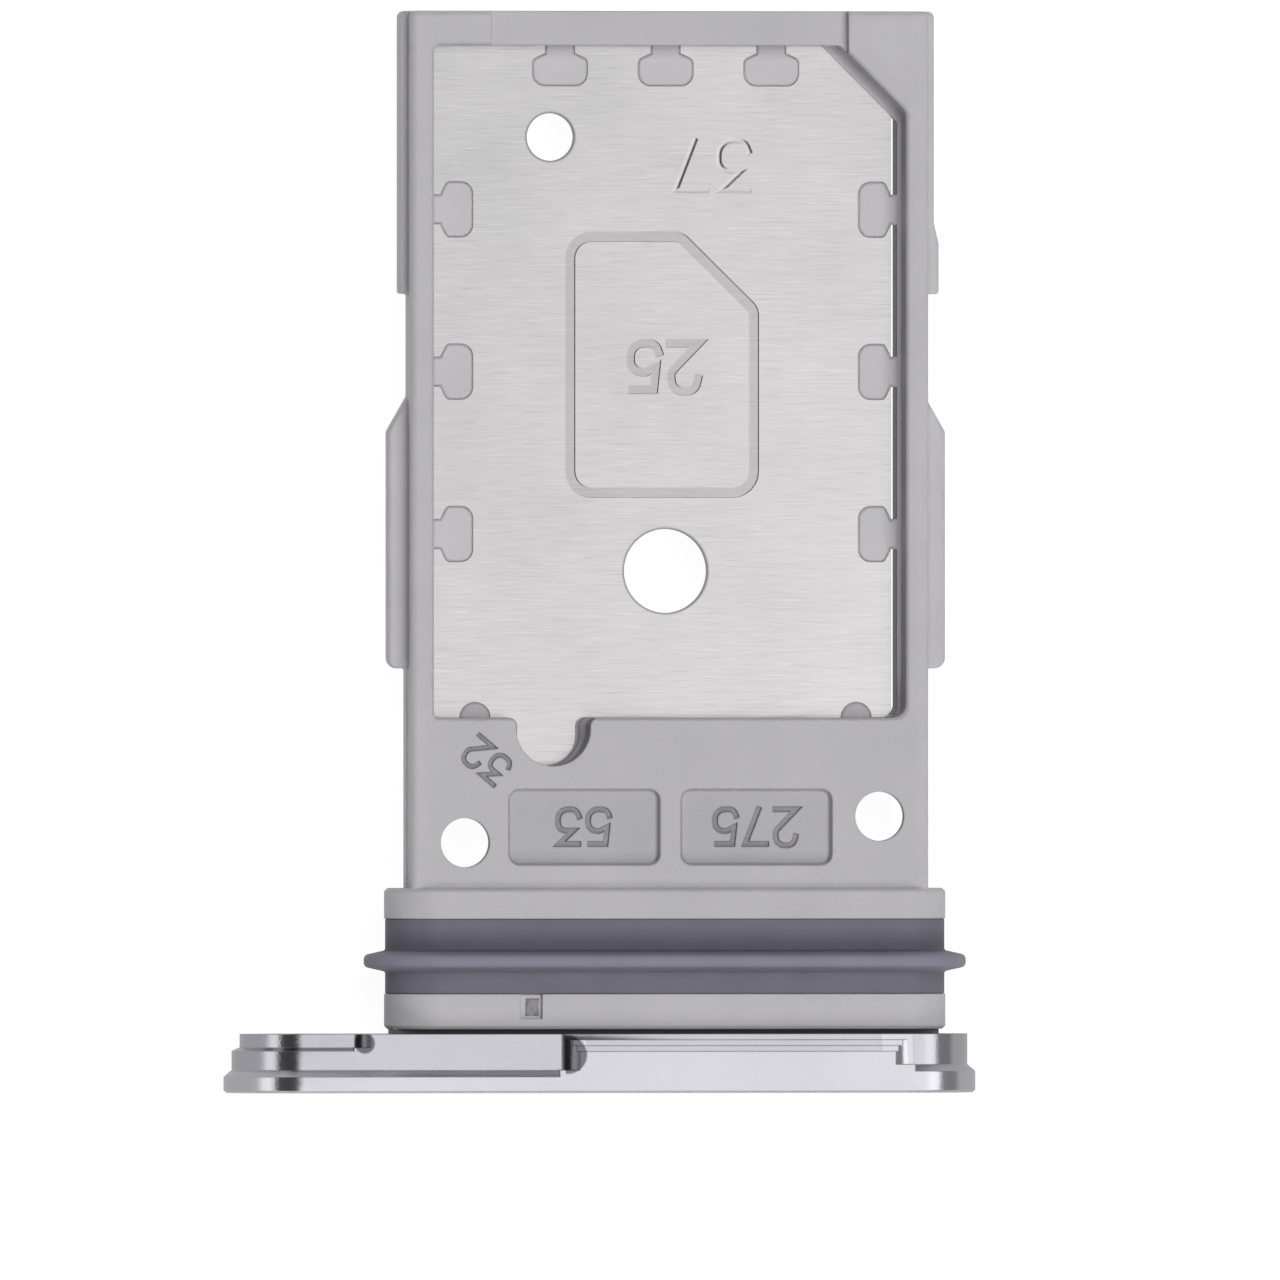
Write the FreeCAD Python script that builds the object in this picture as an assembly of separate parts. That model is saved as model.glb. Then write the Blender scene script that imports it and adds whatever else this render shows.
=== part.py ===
"""A phone's card tray: a moulded frame round a thin steel plate, a seal ring and a milled metal head.

The origin is on the head's front face, where the tray's centre line meets it. +X runs across the tray,
+Y from the head to the tray's nose, which goes in first, and +Z out of the upper card pocket. Sizes are in
millimetres.
"""
import FreeCAD, Part

import math
import os

from FreeCAD import Vector

# The cards: two of the smallest standard size, one above the plate and one below it
CARD_WIDTH = 8.80
CARD_LENGTH = 12.30
CARD_THICKNESS = 0.67
CARD_SIDE_PLAY = 0.045
CARD_END_PLAY = 0.125
CARD_SINK = 0.03
POCKET_CORNER_CUT = 1.225
POCKET_CORNER_RADIUS = 0.25
POCKET_SMALL_RADIUS = 0.125
POCKET_LIP = 0.05
LOWER_POCKET_SHIFT = 0.05

# The steel plate between the two cards
PLATE_THICKNESS = 0.20
PLATE_GAP = 0.20
PLATE_LEDGE = 0.085
PLATE_CORNER_RADIUS = 0.18
PLATE_SIDE_ANCHOR = 0.12
PLATE_END_ANCHOR = 0.25
GAUGE_HOLE_DIAMETER = 0.89
GAUGE_HOLE_X = -2.17
GAUGE_HOLE_FROM_NOSE = 1.71
PUSH_HOLE_DIAMETER = 1.57
PUSH_HOLE_FROM_WEB = 2.74
LOBE_X = -2.25
LOBE_RADIUS = 0.55
LOBE_REACH = 0.885
LOBE_ROOT_RADIUS = 0.16
LOBE_LEFT_GAP = 0.10
LOBE_RIGHT_GAP = 0.20
LOBE_LOWER_GAP = 0.08
LOBE_END_GAP = 0.02

# The plastic keys that fill the plate's cut-outs
KEY_NECK = 0.56
KEY_HEAD = 1.05
KEY_DEPTH = 0.62
KEY_RADIUS = 0.24
KEY_SHOULDER_RADIUS = 0.12
NOSE_KEY_NECK_LENGTH = 0.14
NOSE_KEY_SPACING = 1.99
NOSE_KEYS = 3
SIDE_KEY_FIRST = 3.06
SIDE_KEY_SPACING = 3.03
SIDE_KEYS = 3
WEB_KEY_RADIUS = 0.29
WEB_KEY_X = 3.59

# The moulded frame
FRAME_IN_COLLAR = 0.18
RAIL_WIDTH = 0.425
RAIL_EDGE_RADIUS = 0.12
NOSE_CORNER_RADIUS = 0.12
LOWER_RAIL_WIDTH = 0.235
LOWER_WEB_NARROWER = 0.07
LOWER_EDGE = 0.07
NOSE_BAR = 0.64
NOSE_DIP_DEPTH = 0.22
NOSE_DIP_HALF_WIDTH = 3.36
WEB_LENGTH = 3.18
GUIDE_TOP = 0.30
GUIDE_BOTTOM = -0.10
GUIDE_EDGE = 0.04
GUIDE_NOSE_PROUD = 0.165
GUIDE_NOSE_LENGTH = 5.28
GUIDE_BUMP_PROUD = 0.09
GUIDE_BUMP_LENGTH = 0.95
GUIDE_BUMP_RAMP = 0.38
GUIDE_EAR_PROUD = 0.375
GUIDE_EAR_START = 0.92
GUIDE_EAR_LENGTH = 5.08
GUIDE_EAR_RAMP = 0.66
GUIDE_EAR_RADIUS = 0.20
GUIDE_WEB_PROUD = 0.04
GUIDE_CORNER_RADIUS = 0.12
GUIDE_STEP_RADIUS = 0.06
GUIDE_ROOT_RADIUS = 0.04
WEB_HOLE_DIAMETER = 0.92
WEB_HOLE_RELIEF_DIAMETER = 1.36
WEB_HOLE_LAND = 0.22
LEFT_WEB_HOLE = (-3.86, 0.85)
RIGHT_WEB_HOLE = (3.94, 1.34)
PANEL_WIDTH = 2.87
PANEL_HEIGHT = 1.44
PANEL_GAP = 0.37
PANEL_FROM_COLLAR = 0.42
PANEL_DEPTH = 0.12
PANEL_DRAFT = 0.05
PANEL_RADIUS = 0.22

# The collar that carries the seal
COLLAR_LENGTH = 2.63
COLLAR_WIDTH = 10.56
COLLAR_HEIGHT = 1.90
COLLAR_EDGE = 0.06
GROOVE_FROM_FRONT = 0.655
GROOVE_WIDTH = 1.405
GROOVE_DEPTH = 0.30
GATE_X = -2.635
GATE_WIDTH = 0.41
GATE_LENGTH = 0.46
GATE_DEPTH = 0.10

# The seal ring
SEAL_SINK = 0.02
RIB_FROM_GROOVE = 0.615
RIB_BASE = 0.40
RIB_TIP = 0.22
RIB_PROUD = 0.38
RIB_TIP_CHAMFER = 0.07

# The metal head
HEAD_LENGTH = 14.14
HEAD_HEIGHT = 2.72
HEAD_DEPTH = 1.10
HEAD_X = -1.2265
HEAD_GAP = 0.09
FRONT_EDGE = 0.05
FLANGE_DEPTH = 0.30
FLANGE_COVE = 0.13
RELIEF = 0.15
CUTTER_RADIUS = 0.55
LEFT_RELIEF_END = -2.15
RIGHT_RELIEF_START = 4.54
RIGHT_RELIEF_FRONT = 0.40
NOTCH_RELIEF = 0.30
NOTCH_DEPTH = 0.38
NOTCH_END = -6.00
NOTCH_CUTTER_RADIUS = 0.40
STEPS = 3
STEP_WIDTH = 0.108
STEP_DROP = 0.045
EJECT_HOLE_DIAMETER = 1.12
EJECT_CHAMFER = 0.155

# The tongue that holds the head on the frame
TONGUE_LEFT = -5.15
TONGUE_RIGHT = 5.10
TONGUE_HEIGHT = 0.90
TONGUE_BEAD_HEIGHT = 1.30
TONGUE_BEAD = 0.28
TONGUE_DEPTH = 0.62

# Places worked out from the sizes above
COLLAR_FRONT = HEAD_DEPTH + HEAD_GAP
COLLAR_BACK = COLLAR_FRONT + COLLAR_LENGTH
POCKET_BACK = COLLAR_BACK + WEB_LENGTH
POCKET_NOSE = POCKET_BACK + CARD_LENGTH + 2 * CARD_END_PLAY
NOSE = POCKET_NOSE + NOSE_BAR
POCKET_HALF = CARD_WIDTH / 2 + CARD_SIDE_PLAY
RAIL_HALF = POCKET_HALF + RAIL_WIDTH
PLATE_TOP = PLATE_THICKNESS / 2
TRAY_TOP = PLATE_TOP + CARD_THICKNESS + CARD_SINK
PLATE_RIGHT = POCKET_HALF - PLATE_GAP
PLATE_CUT_LINE = POCKET_HALF + POCKET_NOSE - POCKET_CORNER_CUT - PLATE_GAP * math.sqrt(2)
GROOVE_FRONT = COLLAR_FRONT + GROOVE_FROM_FRONT
GROOVE_BACK = GROOVE_FRONT + GROOVE_WIDTH
FRAME_START = COLLAR_BACK - FRAME_IN_COLLAR
COLLAR_RADIUS = COLLAR_HEIGHT / 2
COLLAR_CENTRE = COLLAR_WIDTH / 2 - COLLAR_RADIUS
HEAD_RADIUS = HEAD_HEIGHT / 2
HEAD_LEFT_CENTRE = HEAD_X - HEAD_LENGTH / 2 + HEAD_RADIUS
HEAD_RIGHT_CENTRE = HEAD_X + HEAD_LENGTH / 2 - HEAD_RADIUS

# How far a cutting tool runs past what it cuts, and how far one reaches that has to pass everything
PAST = 1.0
FAR = 30.0


def rounded_wire(corners, z):
    """Closed outline in plan through (x, y, radius) corners, each rounded by an arc of its radius."""
    ends = []
    count = len(corners)
    for i, (x, y, radius) in enumerate(corners):
        here = Vector(x, y, z)
        to_last = (Vector(corners[i - 1][0], corners[i - 1][1], z) - here).normalize()
        following = corners[(i + 1) % count]
        to_next = (Vector(following[0], following[1], z) - here).normalize()
        half = to_last.getAngle(to_next) / 2
        back = radius / math.tan(half)
        inward = (to_last + to_next).normalize() if radius else Vector()
        middle = here + inward * (radius / math.sin(half) - radius)
        ends.append((here + to_last * back, middle, here + to_next * back, radius))
    edges = []
    for i, (start, middle, end, radius) in enumerate(ends):
        if radius:
            edges.append(Part.Arc(start, middle, end).toShape())
        following = ends[(i + 1) % count][0]
        if (following - end).Length > 1e-6:
            edges.append(Part.makeLine(end, following))
    return Part.Wire(Part.__sortEdges__(edges))


def plan_prism(corners, bottom, top):
    """Upright solid on a rounded plan outline."""
    return Part.Face(rounded_wire(corners, bottom)).extrude(Vector(0, 0, top - bottom))


def block(x0, x1, y0, y1, z0, z1):
    """Plain block between two corners."""
    return Part.makeBox(x1 - x0, y1 - y0, z1 - z0, Vector(x0, y0, z0))


def upright_hole(x, y, diameter, bottom, top):
    """Round bar along Z, used to cut or fill a hole."""
    return Part.makeCylinder(diameter / 2, top - bottom, Vector(x, y, bottom))


def stadium_wire(left, right, radius, y):
    """Outline across the tray at y: straight top and bottom, and full-round ends about left and right."""
    top_left, top_right = Vector(left, y, radius), Vector(right, y, radius)
    low_right, low_left = Vector(right, y, -radius), Vector(left, y, -radius)
    return Part.Wire([
        Part.makeLine(top_left, top_right),
        Part.Arc(top_right, Vector(right + radius, y, 0), low_right).toShape(),
        Part.makeLine(low_right, low_left),
        Part.Arc(low_left, Vector(left - radius, y, 0), top_left).toShape(),
    ])


def stadium_slab(left, right, radius, front, back):
    """Solid between two planes across the tray on a stadium outline."""
    return Part.Face(stadium_wire(left, right, radius, front)).extrude(Vector(0, back - front, 0))


def edges_in_plane(shape, axis, place):
    """The shape's edges that lie wholly in the plane axis = place."""
    found = []
    for edge in shape.Edges:
        box = edge.BoundBox
        low, high = getattr(box, axis + "Min"), getattr(box, axis + "Max")
        if abs(low - place) < 1e-4 and abs(high - place) < 1e-4:
            found.append(edge)
    return found


def both_faces(shape):
    """The shape and its mirror image in the plate's middle plane, as one."""
    return shape.fuse(shape.mirror(Vector(0, 0, 0), Vector(0, 0, 1)))


def pocket_corners(grow):
    """The card pocket in plan, grown by a margin: square but for the card's cut corner at the nose."""
    right = POCKET_HALF + grow
    cut = POCKET_CORNER_CUT + grow * (2 - math.sqrt(2))
    low, high = POCKET_BACK - grow, POCKET_NOSE + grow
    return [
        (-right, low, POCKET_SMALL_RADIUS), (right, low, POCKET_CORNER_RADIUS),
        (right, high - cut, POCKET_CORNER_RADIUS), (right - cut, high, POCKET_SMALL_RADIUS),
        (-right, high, POCKET_SMALL_RADIUS),
    ]


def lobe_corners(left_gap, right_gap, end_gap):
    """The plate's round lobe, or the notch round it, from inside the pocket to its tip in the web."""
    left, right = LOBE_X - LOBE_RADIUS - left_gap, LOBE_X + LOBE_RADIUS + right_gap
    half = (right - left) / 2
    tip = POCKET_BACK - LOBE_REACH - end_gap
    inside = POCKET_BACK + LOBE_RADIUS
    return [(left, tip, half), (right, tip, half), (right, inside, 0), (left, inside, 0)]


def root_fillets(left_gap, right_gap, bottom, top):
    """The two hollow corners where the lobe or its notch meets the pocket's edge."""
    fillets = []
    for side, gap in ((-1, left_gap), (1, right_gap)):
        edge = LOBE_X + side * (LOBE_RADIUS + gap)
        centre = edge + side * LOBE_ROOT_RADIUS
        low = POCKET_BACK - LOBE_ROOT_RADIUS
        corner = block(min(edge, centre), max(edge, centre), low, POCKET_BACK, bottom, top)
        fillets.append(corner.cut(upright_hole(centre, low, 2 * LOBE_ROOT_RADIUS, bottom, top)))
    return fillets


def mushroom(neck_length):
    """A key's plan outline, pointing along -Y from the origin: a neck that flares into a rounded head."""
    neck, head = KEY_NECK / 2, KEY_HEAD / 2
    shoulder = -neck_length - KEY_SHOULDER_RADIUS
    tip = -neck_length - KEY_DEPTH
    anchor = PLATE_END_ANCHOR + PLATE_GAP
    return [
        (-neck, anchor, 0), (-neck, -neck_length, 0), (-head, shoulder, KEY_SHOULDER_RADIUS),
        (-head, tip, KEY_RADIUS), (head, tip, KEY_RADIUS), (head, shoulder, KEY_SHOULDER_RADIUS),
        (neck, -neck_length, 0), (neck, anchor, 0),
    ]


def nose_keys(thickness):
    """The row of keys that reaches back from the nose bar."""
    keys = []
    for i in range(NOSE_KEYS):
        key = plan_prism(mushroom(NOSE_KEY_NECK_LENGTH), -thickness / 2, thickness / 2)
        key.translate(Vector((i - (NOSE_KEYS - 1) / 2) * NOSE_KEY_SPACING, POCKET_NOSE, 0))
        keys.append(key)
    return keys


def side_keys(thickness):
    """The keys on both long sides, whose necks cross the gap on the right and are in the rail on the left."""
    keys = []
    for i in range(SIDE_KEYS):
        for side in (-1, 1):
            key = plan_prism(mushroom(0.0), -thickness / 2, thickness / 2)
            key.rotate(Vector(0, 0, 0), Vector(0, 0, 1), -90 * side)
            key.translate(Vector(side * PLATE_RIGHT, POCKET_NOSE - SIDE_KEY_FIRST - i * SIDE_KEY_SPACING, 0))
            keys.append(key)
    return keys


def web_keys(thickness):
    """The two round keys, half seen, at the edge of the web."""
    return [
        upright_hole(side * WEB_KEY_X, POCKET_BACK, 2 * WEB_KEY_RADIUS, -thickness / 2, thickness / 2)
        for side in (-1, 1)
    ]


def all_keys():
    """Every key, as thick as the plate, so that it ends flush with both its faces."""
    return nose_keys(PLATE_THICKNESS) + side_keys(PLATE_THICKNESS) + web_keys(PLATE_THICKNESS)


def support_plate():
    """The stamped plate: free on the right, up to a ledge at the cut corner, held by the plastic elsewhere."""
    left = -POCKET_HALF - PLATE_SIDE_ANCHOR
    top = POCKET_NOSE + PLATE_END_ANCHOR
    low = POCKET_BACK - PLATE_END_ANCHOR
    sheet = plan_prism([
        (left, POCKET_BACK, 0), (PLATE_RIGHT, POCKET_BACK, PLATE_CORNER_RADIUS),
        (PLATE_RIGHT, PLATE_CUT_LINE - PLATE_RIGHT, 0), (PLATE_CUT_LINE - top, top, 0), (left, top, 0),
    ], -PLATE_TOP, PLATE_TOP)
    anchor = block(left, PLATE_RIGHT - 2 * PLATE_CORNER_RADIUS, low, POCKET_BACK + PLATE_END_ANCHOR,
                   -PLATE_TOP, PLATE_TOP)
    sheet = sheet.fuse(anchor)
    beside_lobe = [gap + LOBE_ROOT_RADIUS for gap in (LOBE_LEFT_GAP, LOBE_RIGHT_GAP)]
    clearing = plan_prism(lobe_corners(*beside_lobe, LOBE_END_GAP), -PLATE_TOP, PLATE_TOP)
    below_edge = block(-FAR, FAR, -FAR, POCKET_BACK, -PLATE_TOP, PLATE_TOP)
    sheet = sheet.cut(clearing.common(below_edge))
    lobe = plan_prism(lobe_corners(0, 0, 0), -PLATE_TOP, PLATE_TOP)
    sheet = sheet.fuse([lobe] + root_fillets(0, 0, -PLATE_TOP, PLATE_TOP))
    gauge_y = POCKET_NOSE - GAUGE_HOLE_FROM_NOSE
    push_y = POCKET_BACK + PUSH_HOLE_FROM_WEB
    holes = [
        upright_hole(GAUGE_HOLE_X, gauge_y, GAUGE_HOLE_DIAMETER, -PLATE_TOP, PLATE_TOP),
        upright_hole(0, push_y, PUSH_HOLE_DIAMETER, -PLATE_TOP, PLATE_TOP),
    ]
    return sheet.cut(holes + all_keys()).removeSplitter()


def guide_side(side):
    """One edge of the guide flange, from the collar to the nose: web, ear, bare rail, nose runner."""
    rail = RAIL_HALF
    ear_low = POCKET_BACK + GUIDE_EAR_START
    ear_high = ear_low + GUIDE_EAR_LENGTH
    nose_low = NOSE - GUIDE_NOSE_LENGTH
    runner = rail + GUIDE_NOSE_PROUD
    bump = GUIDE_BUMP_PROUD if side > 0 else 0.0
    path = [
        (rail + GUIDE_WEB_PROUD, FRAME_START, 0),
        (rail + GUIDE_WEB_PROUD, ear_low, GUIDE_ROOT_RADIUS),
        (rail + GUIDE_EAR_PROUD, ear_low, GUIDE_EAR_RADIUS),
        (rail + GUIDE_EAR_PROUD, ear_high - GUIDE_EAR_RAMP, GUIDE_CORNER_RADIUS),
        (rail, ear_high, GUIDE_CORNER_RADIUS),
        (rail, nose_low, GUIDE_ROOT_RADIUS),
        (runner + bump, nose_low, GUIDE_STEP_RADIUS),
    ]
    if bump:
        path.append((runner + bump, nose_low + GUIDE_BUMP_LENGTH, GUIDE_CORNER_RADIUS))
        path.append((runner, nose_low + GUIDE_BUMP_LENGTH + GUIDE_BUMP_RAMP, GUIDE_CORNER_RADIUS))
    path.append((runner, NOSE, GUIDE_CORNER_RADIUS))
    return [(side * x, y, radius) for x, y, radius in path]


def guide_flange():
    """The thin flange round the frame that runs in the phone's slot."""
    outline = guide_side(1) + guide_side(-1)[::-1]
    flange = plan_prism(outline, GUIDE_BOTTOM, GUIDE_TOP)
    return flange.makeChamfer(GUIDE_EDGE, edges_in_plane(flange, "Z", GUIDE_TOP))


def upper_frame():
    """The frame above the guide flange, with its soft outer edge."""
    outline = [
        (-RAIL_HALF, FRAME_START, 0), (RAIL_HALF, FRAME_START, 0),
        (RAIL_HALF, NOSE, NOSE_CORNER_RADIUS), (-RAIL_HALF, NOSE, NOSE_CORNER_RADIUS),
    ]
    frame = plan_prism(outline, GUIDE_TOP - GUIDE_EDGE, TRAY_TOP)
    return frame.makeFillet(RAIL_EDGE_RADIUS, edges_in_plane(frame, "Z", TRAY_TOP))


def lower_frame():
    """The frame below the guide flange: thinner rails, clear of the slot's floor, and a wider web."""
    rail = POCKET_HALF + LOWER_RAIL_WIDTH
    web = RAIL_HALF - LOWER_WEB_NARROWER
    frames = []
    for half, end in ((rail, NOSE), (web, POCKET_BACK)):
        frame = plan_prism([
            (-half, FRAME_START, 0), (half, FRAME_START, 0),
            (half, end, NOSE_CORNER_RADIUS), (-half, end, NOSE_CORNER_RADIUS),
        ], -TRAY_TOP, GUIDE_BOTTOM)
        frames.append(frame.makeChamfer(LOWER_EDGE, edges_in_plane(frame, "Z", -TRAY_TOP)))
    return frames[0].fuse(frames[1])


def plate_window():
    """The opening at the plate's own level: a ledge stands in from the pocket's wall beside the plate."""
    right = POCKET_HALF - PLATE_LEDGE
    return plan_prism([
        (-POCKET_HALF, POCKET_BACK, 0), (right, POCKET_BACK, PLATE_CORNER_RADIUS),
        (right, PLATE_CUT_LINE - right, 0), (PLATE_CUT_LINE - POCKET_NOSE, POCKET_NOSE, 0),
        (-POCKET_HALF, POCKET_NOSE, 0),
    ], -PLATE_TOP, PLATE_TOP)


def notch(left_gap, right_gap, bottom, top):
    """The notch in the web round the plate's lobe, between two levels."""
    outline = lobe_corners(left_gap, right_gap, LOBE_END_GAP)
    return plan_prism(outline, bottom, top).fuse(root_fillets(left_gap, right_gap, bottom, top))


def card_window():
    """What is cut for the cards: two pockets with flared mouths, the plate's level between, the notch."""
    pocket = plan_prism(pocket_corners(0), PLATE_TOP, TRAY_TOP + PAST)
    pocket = pocket.fuse(Part.makeLoft([
        rounded_wire(pocket_corners(0), TRAY_TOP - POCKET_LIP),
        rounded_wire(pocket_corners(POCKET_LIP), TRAY_TOP),
    ], True, True))
    lower = pocket.mirror(Vector(0, 0, 0), Vector(0, 0, 1))
    lower.translate(Vector(-LOWER_POCKET_SHIFT, 0, 0))
    upper_notch = notch(LOBE_LEFT_GAP, LOBE_RIGHT_GAP, PLATE_TOP, TRAY_TOP + PAST)
    lower_notch = notch(LOBE_LOWER_GAP, LOBE_LOWER_GAP, -TRAY_TOP - PAST, PLATE_TOP)
    return pocket.fuse([lower, plate_window(), upper_notch, lower_notch])


def nose_dips():
    """The lower middle of the nose bar, above and below, where the card reader's contacts pass."""
    dip = block(-NOSE_DIP_HALF_WIDTH, NOSE_DIP_HALF_WIDTH, POCKET_NOSE - PAST, NOSE + PAST,
                TRAY_TOP - NOSE_DIP_DEPTH, TRAY_TOP + PAST)
    return both_faces(dip)


def web_holes():
    """Two pin holes through the web, with a short land at the top and wider below."""
    holes = []
    bottom = -TRAY_TOP - PAST
    for x, from_collar in (LEFT_WEB_HOLE, RIGHT_WEB_HOLE):
        y = COLLAR_BACK + from_collar
        holes.append(upright_hole(x, y, WEB_HOLE_DIAMETER, bottom, TRAY_TOP + PAST))
        holes.append(upright_hole(x, y, WEB_HOLE_RELIEF_DIAMETER, bottom, TRAY_TOP - WEB_HOLE_LAND))
    return holes


def number_panels():
    """Two shallow recesses side by side on the web, with drafted walls and round corners."""
    levels = ((-PANEL_DRAFT, TRAY_TOP - PANEL_DEPTH), (0.0, TRAY_TOP), (0.0, TRAY_TOP + PANEL_DEPTH))
    panels = []
    for side in (-1, 1):
        centre = side * (PANEL_GAP + PANEL_WIDTH) / 2
        sections = []
        for grow, z in levels:
            half = PANEL_WIDTH / 2 + grow
            low = COLLAR_BACK + PANEL_FROM_COLLAR - grow
            high = COLLAR_BACK + PANEL_FROM_COLLAR + PANEL_HEIGHT + grow
            radius = PANEL_RADIUS + grow
            sections.append(rounded_wire([
                (centre - half, low, radius), (centre + half, low, radius),
                (centre + half, high, radius), (centre - half, high, radius),
            ], z))
        panels.append(Part.makeLoft(sections, True, True))
    return panels


def collar_slab(shrink, front, back):
    """A slice of the collar on its stadium outline, made smaller all round."""
    return stadium_slab(-COLLAR_CENTRE, COLLAR_CENTRE, COLLAR_RADIUS - shrink, front, back)


def collar():
    """The collar with the seal's groove: two flanges on a narrower core."""
    front = collar_slab(0, COLLAR_FRONT, GROOVE_FRONT)
    front = front.makeChamfer(COLLAR_EDGE, edges_in_plane(front, "Y", COLLAR_FRONT))
    back = collar_slab(0, GROOVE_BACK, COLLAR_BACK)
    back = back.makeChamfer(COLLAR_EDGE, edges_in_plane(back, "Y", COLLAR_BACK))
    core = collar_slab(GROOVE_DEPTH, GROOVE_FRONT - COLLAR_EDGE, GROOVE_BACK + COLLAR_EDGE)
    gate = block(GATE_X - GATE_WIDTH / 2, GATE_X + GATE_WIDTH / 2, GROOVE_FRONT - GATE_LENGTH, GROOVE_FRONT,
                 COLLAR_RADIUS - GATE_DEPTH, COLLAR_RADIUS + PAST)
    return front.cut(gate).fuse([core, back])


def tongue():
    """The moulded tongue across the gap, with a bead at its end that the head's slot can't let go."""
    tip = HEAD_DEPTH - TONGUE_DEPTH
    half, bead_half = TONGUE_HEIGHT / 2, TONGUE_BEAD_HEIGHT / 2
    stem = block(TONGUE_LEFT, TONGUE_RIGHT, tip, COLLAR_FRONT + COLLAR_EDGE, -half, half)
    bead = block(TONGUE_LEFT, TONGUE_RIGHT, tip, tip + TONGUE_BEAD, -bead_half, bead_half)
    return stem.fuse(bead)


def tray_body(plate):
    """The moulded frame, round the plate and through its cut-outs, in one piece with collar and tongue."""
    frame = guide_flange().fuse([upper_frame(), lower_frame()])
    frame = frame.cut([card_window(), nose_dips()] + web_holes() + number_panels())
    body = frame.fuse([collar(), tongue()] + all_keys())
    return body.cut(plate).removeSplitter()


def seal_ring():
    """The silicone ring: a flat band that fills the groove, and a tapered rib all round it."""
    left, right = -COLLAR_CENTRE, COLLAR_CENTRE
    radius = COLLAR_RADIUS - SEAL_SINK
    tip = COLLAR_RADIUS + RIB_PROUD
    middle = GROOVE_FRONT + RIB_FROM_GROOVE
    rib = stadium_slab(left, right, tip, middle - RIB_TIP / 2, middle + RIB_TIP / 2)
    edges = [edge for side in (-1, 1) for edge in edges_in_plane(rib, "Y", middle + side * RIB_TIP / 2)]
    rib = rib.makeChamfer(RIB_TIP_CHAMFER, edges)
    flanks = []
    for side in (-1, 1):
        foot = stadium_wire(left, right, radius, middle + side * RIB_BASE / 2)
        shoulder = stadium_wire(left, right, tip - RIB_TIP_CHAMFER, middle + side * RIB_TIP / 2)
        inner = stadium_wire(left, right, tip - RIB_TIP_CHAMFER, middle)
        flanks.append(Part.makeLoft([foot, shoulder], True, True))
        flanks.append(Part.makeLoft([shoulder, inner], True, True))
    band = stadium_slab(left, right, radius, GROOVE_FRONT, GROOVE_BACK)
    bore = collar_slab(GROOVE_DEPTH, GROOVE_FRONT - PAST, GROOVE_BACK + PAST)
    return band.fuse([rib] + flanks).cut(bore).removeSplitter()


def outer_cut(depth, front, x_low, x_high, cutter_at, cutter):
    """What milling takes off the head's outside from x_low to x_high, down to a smaller stadium.

    It has a sloped foot at the front, and a hollow end as round as the cutter.
    """
    inset = HEAD_RADIUS - depth
    foot = front + FLANGE_COVE
    back = HEAD_DEPTH + PAST
    tool = block(x_low, x_high, front, back, -FAR, FAR)
    for side in (-1, 1):
        start = Vector(cutter_at, foot, side * (inset + cutter))
        tool = tool.fuse(Part.makeCylinder(cutter, back - foot, start, Vector(0, 1, 0)))
    core = stadium_slab(HEAD_LEFT_CENTRE, HEAD_RIGHT_CENTRE, inset, front - PAST, back + PAST)
    flare = Part.makeLoft([
        stadium_wire(HEAD_LEFT_CENTRE, HEAD_RIGHT_CENTRE, HEAD_RADIUS, front),
        stadium_wire(HEAD_LEFT_CENTRE, HEAD_RIGHT_CENTRE, inset, foot),
    ], True, True)
    return tool.cut([core, flare])


def back_steps():
    """The small stairs round the back edge of the head's full-height middle."""
    steps = []
    back = HEAD_DEPTH + PAST
    for i in range(STEPS):
        front = HEAD_DEPTH - (STEPS - i) * STEP_WIDTH
        radius = HEAD_RADIUS - (i + 1) * STEP_DROP
        core = stadium_slab(HEAD_LEFT_CENTRE, HEAD_RIGHT_CENTRE, radius, front - PAST, back + PAST)
        steps.append(block(-FAR, FAR, front, back, -FAR, FAR).cut(core))
    return steps


def eject_hole():
    """The hole for the eject pin, about the left end's own centre, with its wide chamfer at the face."""
    radius = EJECT_HOLE_DIAMETER / 2
    mouth = radius + EJECT_CHAMFER
    inward = Vector(0, 1, 0)
    bore = Part.makeCylinder(radius, HEAD_DEPTH + 2 * PAST, Vector(HEAD_LEFT_CENTRE, -PAST, 0), inward)
    start = Vector(HEAD_LEFT_CENTRE, -EJECT_CHAMFER, 0)
    cone = Part.makeCone(2 * mouth - radius, radius, 2 * EJECT_CHAMFER, start, inward)
    return bore.fuse(cone)


def head(body):
    """The milled head: a full-round flange in front, reliefs and stairs behind, the slot round the tongue."""
    blank = stadium_slab(HEAD_LEFT_CENTRE, HEAD_RIGHT_CENTRE, HEAD_RADIUS, 0, HEAD_DEPTH)
    blank = blank.makeChamfer(FRONT_EDGE, edges_in_plane(blank, "Y", 0))
    notch_front = HEAD_DEPTH - NOTCH_DEPTH
    cuts = [
        outer_cut(RELIEF, FLANGE_DEPTH, -FAR, LEFT_RELIEF_END, LEFT_RELIEF_END, CUTTER_RADIUS),
        outer_cut(RELIEF, RIGHT_RELIEF_FRONT, RIGHT_RELIEF_START, FAR, RIGHT_RELIEF_START, CUTTER_RADIUS),
        outer_cut(NOTCH_RELIEF, notch_front, -FAR, NOTCH_END, NOTCH_END, NOTCH_CUTTER_RADIUS),
        eject_hole(),
    ]
    return blank.cut(cuts + back_steps()).cut(body).removeSplitter()


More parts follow.
